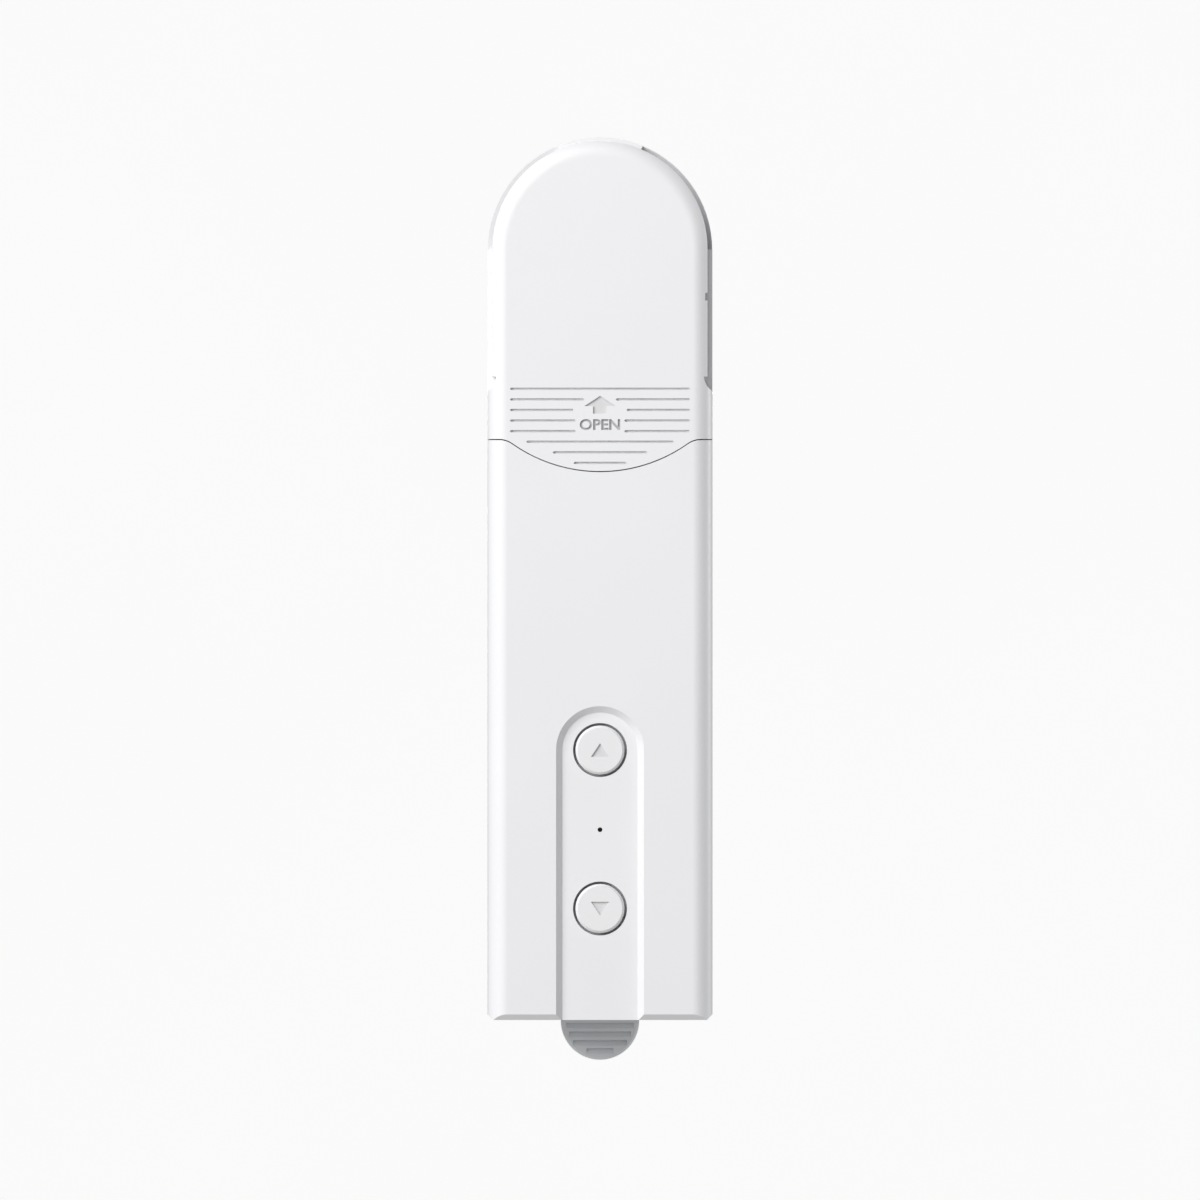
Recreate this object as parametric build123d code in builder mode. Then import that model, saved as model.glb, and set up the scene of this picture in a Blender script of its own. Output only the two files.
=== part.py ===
"""Motor that turns the bead chain of a roller shade, on its wall bracket, in millimetres.

X runs to the right, Y into the wall and Z up. The wall is the plane Y = 0 and the origin is
midway between the two wall screws. A depth is measured from the wall towards the room and a
height from the bottom of the case.
"""

import os
from math import acos, asin, atan2, cos, degrees, pi, radians, sin, sqrt, tan

from build123d import *

os.makedirs("parts", exist_ok=True)

# Case: a flat box with a round top, split into a back half and a front half
case_width = 40.0
case_height = 157.0
case_depth = 38.2
case_bottom = -56.0
wall = 1.8
seam_depth = 26.0
wall_gap = 0.4
edge_round = 3.5
bottom_bevel = 1.0
case_half = case_width / 2
dome_height = case_height - case_half
inside_half = case_half - wall
skin_depth = case_depth - wall

# Clearances between pieces that move or are put together
loose = 0.3
slide_fit = 0.1
running_fit = 0.05
press_fit = 0.0
gear_room = 0.26
tip_room = 0.4

# Parting line between the front shell and the sliding cover
cover_reach = 34.0
parting_height = dome_height - cover_reach
parting_dip = 5.7
parting_radius = 27.0
parting_blend = 4.0
parting_gap = 0.2

# Wall bracket and the guide for it in the back of the case
screw_spacing = 50.0
screw_hole_radius = 2.1
screw_head_radius = 4.0
bracket_height = 76.0
bracket_top = 94.0
bracket_half = 10.5
bracket_base = 2.0
bracket_corner = 1.5
flange_reach = 2.2
flange_half = bracket_half + flange_reach
flange_thickness = 1.9
lip_room = 0.2
lip_depth = bracket_base - lip_room
guide_wall = 1.6
rack_pitch = 2.0
rack_teeth = 18
rack_depth = 1.0
rack_half = 3.5
rack_bottom = 38.0
bracket_front = bracket_base + flange_thickness
guide_floor = bracket_front + loose
guide_inside = guide_floor + guide_wall
guide_half = flange_half + loose

# Release tab in front of the bracket guide
tab_half = 7.0
tab_thickness = 2.6
tab_travel = 3.0
tab_back = guide_inside + loose
tab_front = tab_back + tab_thickness

# Button channel in the lower front
button_radius = 4.35
button_gap = 0.45
button_hole_radius = button_radius + button_gap
channel_side = 3.0
channel_half = button_hole_radius + channel_side
channel_slope = 1.13
channel_drop = 1.2
channel_floor = case_depth - channel_drop
channel_inside = channel_floor - wall
up_button_height = 47.95
down_button_height = 19.8
light_hole_height = 33.8
light_hole_radius = 0.425

# Circuit board between the motor and the front
board_room = 3.6
board_thickness = 1.2
board_front = channel_inside - board_room
board_back = board_front - board_thickness

# Bead chain and its sprocket, with as many pockets as the round top has room for
bead_pitch = 6.0
bead_radius = 2.25
bead_room = 0.15
sprocket_inset = 3.75
sprocket_width = 6.8
sprocket_front = seam_depth
sprocket_back = sprocket_front - sprocket_width
pocket_count = int(pi / asin(bead_pitch / 2 / (inside_half - sprocket_inset)))

# Gears: their teeth, with as many on the output gear as the round top has room for
module = 0.8
pressure = radians(20)
addendum = 0.64
dedendum = 0.88
tooth_slack = 0.16
output_inset = 3.5
output_teeth = int(2 * (inside_half - output_inset - addendum) / module)
pinion_teeth = 14
idler_teeth = 24
wheel_pinion_teeth = 12
wheel_teeth = 20
output_tip_radius = module * output_teeth / 2 + addendum
idler_tip_radius = module * idler_teeth / 2 + addendum
wheel_tip_radius = module * wheel_teeth / 2 + addendum

# Gears: their axes, from the motor at the right up to the output shaft in the middle
motor_inset = 11.2
worm_pitch_radius = 4.0
worm_tip_radius = worm_pitch_radius + addendum
idler_offset = 9.0
motor_x = inside_half - motor_inset
wheel_x = motor_x - worm_pitch_radius - module * wheel_teeth / 2
idler_x = wheel_x + idler_offset
output_height = dome_height
idler_height = output_height - sqrt((module * (output_teeth + pinion_teeth) / 2) ** 2 - idler_x**2)
wheel_span = module * (idler_teeth + wheel_pinion_teeth) / 2
wheel_height = idler_height - sqrt(wheel_span**2 - idler_offset**2)

# Gears: their depths, from the sprocket back to the gearbox plate
frame_plate = 1.5
sprocket_room = 1.3
hub_rise = 1.6
hub_room = 0.9
slow_width = 3.0
stage_gap = 0.5
fast_width = 2.4
gear_plate = 1.3
upper_plate_front = sprocket_back - sprocket_room
upper_plate_back = upper_plate_front - frame_plate
slow_front = upper_plate_back - hub_room - hub_rise
slow_back = slow_front - slow_width
fast_front = slow_back - stage_gap
fast_back = fast_front - fast_width
gear_plate_front = fast_back - loose
gear_plate_back = gear_plate_front - gear_plate
frame_recess = 0.6
lower_plate_front = seam_depth - frame_recess
lower_plate_back = lower_plate_front - frame_plate
motor_depth = lower_plate_back - gear_room - worm_tip_radius
worm_wheel_width = 4.0
worm_wheel_back = motor_depth - worm_wheel_width / 2
worm_wheel_front = motor_depth + worm_wheel_width / 2

# Worm between the motor below and its bush above
worm_length = 7.8
worm_hub = 0.5
worm_room = 6.2
bearing_room = 1.8
bearing_length = 2.8
motor_high = wheel_height - worm_length / 2 - worm_hub - worm_room
bearing_low = wheel_height + worm_length / 2 + worm_hub + bearing_room
step_low = bearing_low + bearing_length

front_view = Plane(origin=(0, 0, case_bottom), x_dir=(1, 0, 0), z_dir=(0, -1, 0))
level = Plane.XY.offset(case_bottom)


def round_top(inset):
    """The case outline from the front, moved inwards by the inset."""
    half = case_half - inset
    with Locations((0, (inset + dome_height) / 2)):
        Rectangle(2 * half, dome_height - inset)
    with Locations((0, dome_height)):
        Circle(half)


def parting_line(rise):
    """The parting line from the right side of the case to the left, moved up by the rise."""
    side = case_half
    line = parting_height + rise
    arc_centre = line - parting_dip + parting_radius
    blend_centre = line - parting_blend
    reach = parting_radius + parting_blend
    blend_x = sqrt(reach**2 - (arc_centre - blend_centre) ** 2)
    share = parting_radius / reach
    meet_x = share * blend_x
    meet_y = arc_centre - share * (arc_centre - blend_centre)
    turn = atan2(meet_y - blend_centre, meet_x - blend_x)
    half_turn = (turn + pi / 2) / 2
    mid_x = blend_x + parting_blend * cos(half_turn)
    mid_y = blend_centre + parting_blend * sin(half_turn)
    Line((side, line), (blend_x, line))
    ThreePointArc((blend_x, line), (mid_x, mid_y), (meet_x, meet_y))
    ThreePointArc((meet_x, meet_y), (0, line - parting_dip), (-meet_x, meet_y))
    ThreePointArc((-meet_x, meet_y), (-mid_x, mid_y), (-blend_x, line))
    Line((-blend_x, line), (-side, line))


def beside(x, height, reach, turn):
    """The point at a reach from another one, turned in degrees from the right hand side."""
    return (x + reach * cos(radians(turn)), height + reach * sin(radians(turn)))


# Wall bracket: a plate with two countersunk screw holes, and side flanges that the case slides on
bracket_middle = bracket_top - bracket_height / 2
with BuildPart() as wall_bracket:
    with BuildSketch(front_view):
        with Locations((0, bracket_middle)):
            RectangleRounded(2 * bracket_half, bracket_height, bracket_corner)
    extrude(amount=bracket_base)
    with BuildSketch(front_view.offset(bracket_base)):
        with Locations((0, bracket_middle)):
            RectangleRounded(2 * flange_half, bracket_height, bracket_corner)
    extrude(amount=flange_thickness)
    with Locations(front_view.offset(bracket_front)):
        with Locations((0, -case_bottom - screw_spacing / 2), (0, -case_bottom + screw_spacing / 2)):
            CounterSinkHole(screw_hole_radius, screw_head_radius)
    with BuildSketch(front_view.offset(bracket_front)):
        for tooth in range(rack_teeth):
            with Locations((0, rack_bottom + tooth * rack_pitch)):
                Rectangle(2 * rack_half, 0.6 * rack_pitch)
    extrude(amount=-rack_depth, mode=Mode.SUBTRACT)
wall_bracket.part.label = "wall_bracket"

# Back shell: tub with the round top, the bracket guide, screw bosses and two slots for the chain
guide_top = bracket_top
case_boss_radius = 2.4
case_screw_radius = 1.25
case_head_radius = 1.9
case_head_inset = 6.0
case_head_depth = seam_depth - case_head_inset
low_case_screw = (case_half - 3.8, 3.9)
top_case_screw = (case_half - 4.0, parting_height - 3.4)
case_screw_points = [low_case_screw, top_case_screw]
case_screw_points += [(-x, height) for x, height in case_screw_points]
frame_boss_radius = 1.5
frame_screw_radius = 0.9
frame_screw_length = 8.0
frame_head_radius = 1.5
frame_head_thickness = 0.7
low_head_sink = 0.7
low_boss_room = 0.2
dome_boss_reach = output_tip_radius + gear_room + frame_boss_radius
dome_boss_points = [
    beside(0, output_height, dome_boss_reach, 135),
    beside(0, output_height, dome_boss_reach, 45),
]
low_boss_points = [
    beside(wheel_x, wheel_height, wheel_tip_radius + low_boss_room + frame_boss_radius, 243.5),
    (inside_half - 2.2, step_low - 3.6),
]
chain_slot_width = 6.5
slot_end = 67.6
tray_low = 6.6
tray_lift = 2.1
tray_back = tab_front + tray_lift
tray_wall = 0.9
cell_radius = 7.1
cell_gap = 0.4
cell_x = cell_radius + cell_gap
tray_half = cell_x + cell_radius + cell_gap + tray_wall
tray_post_radius = 1.5
tray_post_x = tray_half + 0.6
tray_posts = [(side * tray_post_x, tray_low + up) for side in (-1, 1) for up in (7.4, 43.4)]
window_low = 41.0
window_high = 48.0
window_half = rack_half + 1.0
tab_rail = 1.6
tab_rail_lip = 1.0
rail_low = 3.0
rail_high = 20.0

with BuildPart() as rear_shell:
    with BuildSketch(front_view.offset(wall_gap)):
        round_top(0)
    extrude(amount=seam_depth - wall_gap)
    with BuildSketch(front_view.offset(wall_gap + wall)):
        round_top(wall)
    extrude(amount=seam_depth - wall_gap - wall, mode=Mode.SUBTRACT)
    with BuildSketch(front_view.offset(wall_gap)):
        with Locations((0, (guide_top + guide_wall) / 2)):
            Rectangle(2 * (guide_half + guide_wall), guide_top + guide_wall)
    extrude(amount=guide_inside - wall_gap)
    with BuildSketch(front_view.offset(lip_depth)):
        with Locations((0, guide_top / 2)):
            Rectangle(2 * guide_half, guide_top)
    extrude(amount=guide_floor - lip_depth, mode=Mode.SUBTRACT)
    with BuildSketch(front_view.offset(wall_gap)):
        with Locations((0, guide_top / 2)):
            Rectangle(2 * (bracket_half + loose), guide_top)
    extrude(amount=lip_depth - wall_gap, mode=Mode.SUBTRACT)
    with BuildSketch(front_view.offset(guide_floor)):
        with Locations((0, (window_low + window_high) / 2)):
            Rectangle(2 * window_half, window_high - window_low)
    extrude(amount=guide_wall, mode=Mode.SUBTRACT)
    for side in (-1, 1):
        with BuildSketch(front_view.offset(guide_inside)):
            with Locations((side * (tab_half + slide_fit + tab_rail / 2), (rail_low + rail_high) / 2)):
                Rectangle(tab_rail, rail_high - rail_low)
        extrude(amount=tab_front + loose - guide_inside)
        with BuildSketch(front_view.offset(tab_front + loose)):
            with Locations((side * (tab_half + slide_fit), (rail_low + rail_high) / 2)):
                Rectangle(2 * tab_rail, rail_high - rail_low)
        extrude(amount=tab_rail_lip)
    with BuildSketch(front_view.offset(wall_gap)):
        with Locations(*case_screw_points):
            Circle(case_boss_radius)
    extrude(amount=seam_depth - wall_gap)
    with BuildSketch(front_view.offset(wall_gap)):
        with Locations(*dome_boss_points):
            Circle(frame_boss_radius)
    extrude(amount=upper_plate_back - wall_gap)
    with BuildSketch(front_view.offset(wall_gap)):
        with Locations(*low_boss_points):
            Circle(frame_boss_radius)
    extrude(amount=lower_plate_back - wall_gap)
    with BuildSketch(front_view.offset(wall_gap)):
        with Locations(*tray_posts):
            Circle(tray_post_radius)
    extrude(amount=tray_back - wall_gap)
    with BuildSketch(front_view.offset(wall_gap)):
        with Locations(*case_screw_points):
            Circle(case_screw_radius)
    extrude(amount=seam_depth - wall_gap, mode=Mode.SUBTRACT)
    with BuildSketch(front_view.offset(wall_gap)):
        with Locations(*case_screw_points):
            Circle(case_head_radius)
    extrude(amount=case_head_depth - wall_gap, mode=Mode.SUBTRACT)
    for points, top in ((dome_boss_points, upper_plate_back), (low_boss_points, lower_plate_back)):
        with BuildSketch(front_view.offset(top)):
            with Locations(*points):
                Circle(frame_screw_radius)
        extrude(amount=-frame_screw_length, mode=Mode.SUBTRACT)
    with BuildSketch(front_view.offset(seam_depth)):
        for side in (0, 180 - slot_end):
            with BuildLine():
                far = case_width
                start = radians(side)
                end = radians(side + slot_end)
                Polyline(
                    (0, dome_height),
                    (far * cos(start), dome_height + far * sin(start)),
                    (far * cos((start + end) / 2), dome_height + far * sin((start + end) / 2)),
                    (far * cos(end), dome_height + far * sin(end)),
                    (0, dome_height),
                )
            make_face()
        with Locations((0, dome_height)):
            Circle(inside_half, mode=Mode.SUBTRACT)
    extrude(amount=-chain_slot_width, mode=Mode.SUBTRACT)
    with BuildSketch(level):
        with Locations((0, -(tab_back + tab_front) / 2)):
            Rectangle(2 * tab_half + 2 * loose, tab_thickness + 2 * loose)
    extrude(amount=wall, mode=Mode.SUBTRACT)
    chamfer(
        rear_shell.edges().filter_by(Axis.Y).filter_by_position(Axis.Z, case_bottom, case_bottom)
        .group_by(Axis.X)[0]
        + rear_shell.edges().filter_by(Axis.Y).filter_by_position(Axis.Z, case_bottom, case_bottom)
        .group_by(Axis.X)[-1],
        length=bottom_bevel,
    )
rear_shell.part.label = "rear_shell"

# Front shell: lower front half with the button channel, two button holes and the charging slot
screw_bite = 6.0
board_inset = 3.2
board_half = inside_half - board_inset
board_low = 4.0
board_high = parting_height - 11.0
board_screw_radius = 0.9
board_screw_length = 4.4
board_post_radius = 1.9
board_post_x = board_half - 2.6
board_posts = [
    (side * board_post_x, height) for side in (-1, 1) for height in (board_low + 5.0, board_high - 6.0)
]
usb_half = 4.45
usb_thickness = 3.2
usb_room = 0.4
usb_depth = board_back - usb_thickness / 2
flange_radius = button_radius + 1.25
flange_front = channel_inside - loose
ring_wall = 1.2
ring_radius = flange_radius + slide_fit + ring_wall
ring_height = 1.6
ring_depth = channel_inside - ring_height

with BuildPart() as front_shell:
    with BuildSketch(front_view.offset(seam_depth)):
        with BuildLine():
            parting_line(0)
            side = case_half
            Polyline(
                (-side, parting_height),
                (-side, bottom_bevel),
                (-side + bottom_bevel, 0),
                (side - bottom_bevel, 0),
                (side, bottom_bevel),
                (side, parting_height),
            )
        make_face()
    extrude(amount=case_depth - seam_depth)
    front_edges = front_shell.edges().filter_by(Axis.Z).group_by(Axis.Y)[0]
    fillet(front_edges, radius=edge_round)
    with BuildSketch(Plane.YZ):
        with BuildLine():
            Polyline(
                (-case_depth, case_bottom),
                (-case_depth + bottom_bevel, case_bottom),
                (-case_depth, case_bottom + bottom_bevel),
                close=True,
            )
        make_face()
    extrude(amount=case_width / 2, both=True, mode=Mode.SUBTRACT)
    with BuildSketch(front_view.offset(seam_depth)):
        with Locations((0, (wall + case_height) / 2)):
            Rectangle(2 * inside_half, case_height - wall)
    extrude(amount=skin_depth - seam_depth, mode=Mode.SUBTRACT)
    with BuildSketch(front_view.offset(channel_inside)):
        with Locations((0, up_button_height)):
            Circle(channel_half + wall)
        with Locations((0, up_button_height / 2)):
            Rectangle(2 * (channel_half + wall), up_button_height)
    extrude(amount=skin_depth - channel_inside)
    with BuildSketch(front_view.offset(case_depth)):
        with Locations((0, up_button_height)):
            Circle(channel_half)
        with Locations((0, up_button_height / 2 - case_width / 2)):
            Rectangle(2 * channel_half, up_button_height + case_width)
    extrude(amount=-channel_drop, taper=degrees(atan2(channel_slope, channel_drop)), mode=Mode.SUBTRACT)
    with BuildSketch(front_view.offset(ring_depth)):
        with Locations((0, up_button_height), (0, down_button_height)):
            Circle(ring_radius)
    extrude(amount=channel_inside - ring_depth)
    with BuildSketch(front_view.offset(ring_depth)):
        with Locations((0, up_button_height), (0, down_button_height)):
            Circle(flange_radius + slide_fit)
    extrude(amount=channel_inside - ring_depth, mode=Mode.SUBTRACT)
    with BuildSketch(front_view.offset(channel_inside)):
        with Locations((0, up_button_height), (0, down_button_height)):
            Circle(button_hole_radius)
        with Locations((0, light_hole_height)):
            Circle(light_hole_radius)
    extrude(amount=case_depth - channel_inside, mode=Mode.SUBTRACT)
    with BuildSketch(front_view.offset(board_front)):
        with Locations(*board_posts):
            Circle(board_post_radius)
    extrude(amount=skin_depth - board_front)
    with BuildSketch(front_view.offset(seam_depth)):
        with Locations(*case_screw_points):
            Circle(case_boss_radius)
    extrude(amount=skin_depth - seam_depth)
    with BuildSketch(front_view.offset(seam_depth)):
        with Locations(*case_screw_points):
            Circle(frame_screw_radius)
    extrude(amount=screw_bite + tip_room, mode=Mode.SUBTRACT)
    with BuildSketch(front_view.offset(board_front)):
        with Locations(*board_posts):
            Circle(board_screw_radius)
    extrude(amount=board_screw_length - board_thickness + tip_room, mode=Mode.SUBTRACT)
    with BuildSketch(level):
        with Locations((0, -usb_depth)):
            SlotOverall(2 * (usb_half + usb_room), usb_thickness + 2 * usb_room)
    extrude(amount=wall, mode=Mode.SUBTRACT)
front_shell.part.label = "front_shell"

# Chain cover: upper front that slides up off the case, with grip grooves and two guide ribs
cover_inset = 0.9
cover_half = case_half - cover_inset
cover_back = seam_depth + slide_fit
cover_low = parting_height - parting_dip - 10.0
band_top = parting_height + 11.3
band_step = 2.6
scoop_reach = 1.5
snap_notch = 0.4
snap_notch_height = 1.4
snap_notch_middle = dome_height - 8.5
frame_half = inside_half - 1.0
rail_inset = 3.6
rail_wall = 1.3
rail_wall_inner = frame_half - rail_inset
rib_inner = rail_wall_inner + rail_wall + loose
rib_back = cover_back + loose
rib_thickness = 2.3
rib_front = rib_back + rib_thickness
rib_low = parting_height + 1.5
rib_high = dome_height - 2.0
tongue_half = inside_half - 5.7
tongue_drop = 2.0
tongue_root = 2.4
tongue_thickness = 1.2
tongue_front = skin_depth - loose
tongue_back = tongue_front - tongue_thickness
groove_width = 0.42
groove_drop = 0.6
groove_pitch = 1.88
groove_top = parting_height + 9.1
groove_half = case_half - 4.0
groove_rows = 8
groove_gap = {1: 2.8, 2: 4.7, 3: 4.3, 4: 4.3}
groove_end = {5: 13.1, 6: 8.4, 7: 4.7}


def grip_groove(middle, height, length):
    """Draws one narrow groove with pointed ends."""
    half = length / 2
    point = groove_width / 2
    with Locations((middle, height)):
        Polygon(
            (-half, 0),
            (-half + point, -point),
            (half - point, -point),
            (half, 0),
            (half - point, point),
            (-half + point, point),
            align=None,
        )


with BuildPart() as chain_cover:
    with BuildSketch(front_view.offset(cover_back)):
        round_top(0)
        with Locations((0, cover_low / 2)):
            Rectangle(case_width, cover_low, mode=Mode.SUBTRACT)
    extrude(amount=case_depth - cover_back)
    front_face = chain_cover.faces().sort_by(Axis.Y)[0]
    dome_edges = front_face.edges().filter_by_position(
        Axis.Z, case_bottom + cover_low + 1, case_bottom + case_height
    )
    fillet(dome_edges, radius=edge_round)
    with BuildSketch(front_view.offset(cover_back)):
        with Locations((0, dome_height)):
            Circle(case_width)
        with Locations((0, band_top - case_width)):
            Rectangle(2 * case_width, 2 * case_width, mode=Mode.SUBTRACT)
        with Locations((0, dome_height)):
            Circle(cover_half, mode=Mode.SUBTRACT)
        with Locations((0, dome_height / 2)):
            Rectangle(2 * cover_half, dome_height, mode=Mode.SUBTRACT)
        for side in (-1, 1):
            with BuildLine():
                outer = side * case_half
                inner = side * (case_half - scoop_reach)
                low = band_top - band_step
                ThreePointArc(
                    (outer, low),
                    (0.3 * outer + 0.7 * inner, 0.6 * low + 0.4 * band_top),
                    (inner, band_top),
                )
                Polyline((inner, band_top), (2 * outer, band_top), (2 * outer, low), (outer, low))
            make_face()
        with Locations((cover_half, snap_notch_middle)):
            Rectangle(2 * snap_notch, snap_notch_height)
    extrude(amount=case_depth - cover_back, mode=Mode.SUBTRACT)
    with BuildSketch(front_view.offset(cover_back)):
        with BuildLine():
            parting_line(parting_gap)
            Polyline(
                (-case_half, parting_height + parting_gap),
                (-case_half, cover_low),
                (case_half, cover_low),
                (case_half, parting_height + parting_gap),
            )
        make_face()
    extrude(amount=case_depth - cover_back, mode=Mode.SUBTRACT)
    with BuildSketch(front_view.offset(cover_back)):
        round_top(cover_inset + wall)
    extrude(amount=skin_depth - cover_back, mode=Mode.SUBTRACT)
    for rise, depth in ((parting_gap, tongue_front), (-tongue_drop, tongue_back)):
        with BuildSketch(front_view.offset(depth)):
            with BuildLine():
                parting_line(rise)
                Polyline(
                    (-case_half, parting_height + rise),
                    (-case_half, parting_height + tongue_root),
                    (case_half, parting_height + tongue_root),
                    (case_half, parting_height + rise),
                )
            make_face()
            with Locations((0, parting_height)):
                Rectangle(2 * tongue_half, case_width, mode=Mode.INTERSECT)
        extrude(amount=(skin_depth if rise > 0 else tongue_front) - depth)
    for side in (-1, 1):
        with BuildSketch(front_view.offset(rib_back)):
            with Locations((side * (rib_inner + cover_half - wall / 2) / 2, (rib_low + rib_high) / 2)):
                Rectangle(cover_half - wall / 2 - rib_inner, rib_high - rib_low)
        extrude(amount=rib_front - rib_back)
    with BuildSketch(front_view.offset(case_depth)):
        for row in range(groove_rows):
            height = groove_top - row * groove_pitch
            if row in groove_gap:
                middle = (groove_half + groove_gap[row]) / 2
                for side in (-1, 1):
                    grip_groove(side * middle, height, groove_half - groove_gap[row])
            else:
                grip_groove(0, height, 2 * groove_end.get(row, groove_half))
    extrude(amount=-groove_drop, mode=Mode.SUBTRACT)
chain_cover.part.label = "chain_cover"

# Release tab: slider in front of the guide floor, its round end stands out below the case
tab_centre = -0.5
tab_head_low = rail_high + tab_travel + loose
tab_head_high = tab_head_low + 3.7
tab_arm_inner = 7.4
tab_arm_outer = 9.4
tab_arm_high = 52.0
tab_bevel = 0.4
wedge_inner = 4.6
wedge_low = 48.2
wedge_nose = 0.9
wedge_flat = 1.0
grip_heights = (-0.9, -2.45, -4.0, -5.45)
grip_halves = (6.0, 5.5, 4.8, 2.4)
grip_width = 1.0
grip_drop = 0.6

with BuildPart() as release_tab:
    with BuildSketch(front_view.offset(tab_back)):
        with Locations((0, tab_centre)):
            Circle(tab_half)
        with Locations((0, (tab_centre + tab_head_high) / 2)):
            Rectangle(2 * tab_half, tab_head_high - tab_centre)
        with Locations((0, (tab_head_low + tab_head_high) / 2)):
            Rectangle(2 * tab_arm_outer, tab_head_high - tab_head_low)
        for side in (-1, 1):
            arm_middle = side * (tab_arm_inner + tab_arm_outer) / 2
            with Locations((arm_middle, (tab_head_low + tab_arm_high) / 2)):
                Rectangle(tab_arm_outer - tab_arm_inner, tab_arm_high - tab_head_low)
    extrude(amount=tab_thickness)
    with BuildSketch(Plane.YZ.offset(wedge_inner), Plane.YZ.offset(-tab_arm_inner)):
        with BuildLine():
            Polyline(
                (-tab_back, case_bottom + wedge_low),
                (-tab_back - wedge_nose, case_bottom + wedge_low),
                (-tab_front, case_bottom + tab_arm_high - wedge_flat),
                (-tab_front, case_bottom + tab_arm_high),
                (-tab_back, case_bottom + tab_arm_high),
                close=True,
            )
        make_face()
    extrude(amount=tab_arm_inner - wedge_inner)
    rim = release_tab.edges().filter_by(GeomType.CIRCLE).filter_by(
        lambda edge: abs(edge.radius - tab_half) < 0.01
    )
    chamfer(rim, length=tab_bevel)
    for height, half in zip(grip_heights, grip_halves):
        with BuildSketch(Plane.YZ):
            with BuildLine():
                Polyline(
                    (-tab_front, case_bottom + height),
                    (-tab_front + grip_drop, case_bottom + height),
                    (-tab_front, case_bottom + height - grip_width),
                    close=True,
                )
            make_face()
        extrude(amount=half, both=True, mode=Mode.SUBTRACT)
release_tab.part.label = "release_tab"

# Latch leaf: springy strip fixed inside the case, its two teeth catch in the bracket's rack
leaf_back = guide_inside + 1.6
leaf_thickness = 0.8
leaf_half = 3.4
leaf_low = 40.6
leaf_high = 66.0
leaf_foot = 6.0
ear_half = 6.9
ear_high = 47.0
block_low = 42.4
block_high = 46.8
tip_clear = 0.3

with BuildPart() as latch_leaf:
    with BuildSketch(front_view.offset(leaf_back)):
        with Locations((0, (leaf_low + leaf_high) / 2)):
            Rectangle(2 * leaf_half, leaf_high - leaf_low)
        with Locations((0, (block_low + ear_high) / 2)):
            Rectangle(2 * ear_half, ear_high - block_low)
    extrude(amount=leaf_thickness)
    with BuildSketch(front_view.offset(guide_inside)):
        with Locations((0, leaf_high - leaf_foot / 2)):
            Rectangle(2 * leaf_half, leaf_foot)
    extrude(amount=leaf_back - guide_inside)
    with BuildSketch(Plane.YZ):
        with BuildLine():
            Polyline(
                (-leaf_back, case_bottom + block_low),
                (-guide_floor, case_bottom + block_low),
                (-guide_floor, case_bottom + block_high),
                (-leaf_back, case_bottom + block_high),
                close=True,
            )
        make_face()
        for tooth in (3, 4):
            notch = case_bottom + rack_bottom + tooth * rack_pitch
            with BuildLine():
                Polyline(
                    (-guide_floor, notch - 0.35),
                    (-bracket_front + rack_depth - tip_clear, notch + 0.05),
                    (-bracket_front + rack_depth - tip_clear, notch + 0.35),
                    (-guide_floor, notch + 0.35),
                    close=True,
                )
            make_face()
    extrude(amount=leaf_half - 0.3, both=True)
latch_leaf.part.label = "latch_leaf"

# Push buttons: round caps with a flange behind the channel floor
button_sink = 0.7
button_face = case_depth - button_sink
button_flange = 0.8
button_edge = 0.4

with BuildPart() as button_up:
    with BuildSketch(front_view.offset(flange_front - button_flange)):
        with Locations((0, up_button_height)):
            Circle(flange_radius)
    extrude(amount=button_flange)
    with BuildSketch(front_view.offset(flange_front)):
        with Locations((0, up_button_height)):
            Circle(button_radius)
    extrude(amount=button_face - flange_front)
    chamfer(button_up.edges().group_by(Axis.Y)[0], length=button_edge)
button_up.part.label = "button_up"

with BuildPart() as button_down:
    add(button_up.part.moved(Location((0, 0, down_button_height - up_button_height))))
button_down.part.label = "button_down"

# Circuit board with the two switches, their pins, the radio, the control chip and the lamp
board_corner = 1.0
switch_half = 3.0
switch_corner = 0.5
switch_thickness = 1.6
switch_front = board_front + switch_thickness
plunger_radius = 1.2
plunger_bed = 1.2
plunger_back = switch_front - 0.7
radio_width = 13.0
radio_length = 18.0
radio_height = board_high - 16.0
radio_board = 0.8
shield_size = 12.0
shield_height = radio_height - 2.5
shield_thickness = 1.6
shield_corner = 0.6
chip_size = 7.0
chip_x = -7.5
chip_height = board_high - 32.0
chip_thickness = 0.9
lamp_width = 1.6
lamp_height = 0.8
lamp_thickness = 0.7
pipe_radius = 1.0

with BuildPart() as main_board:
    with BuildSketch(front_view.offset(board_back)):
        with Locations((0, (board_low + board_high) / 2)):
            RectangleRounded(2 * board_half, board_high - board_low, board_corner)
        with Locations(*board_posts):
            Circle(board_screw_radius + slide_fit, mode=Mode.SUBTRACT)
        with Locations(*case_screw_points):
            Circle(case_boss_radius + loose, mode=Mode.SUBTRACT)
    extrude(amount=board_thickness)
main_board.part.label = "main_board"

with BuildPart() as tact_switches:
    with BuildSketch(front_view.offset(board_front)):
        with Locations((0, up_button_height), (0, down_button_height)):
            RectangleRounded(2 * switch_half, 2 * switch_half, switch_corner)
    extrude(amount=switch_thickness)
    with BuildSketch(front_view.offset(switch_front)):
        with Locations((0, up_button_height), (0, down_button_height)):
            Circle(plunger_radius + running_fit)
    extrude(amount=-plunger_bed, mode=Mode.SUBTRACT)
tact_switches.part.label = "tact_switches"

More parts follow.
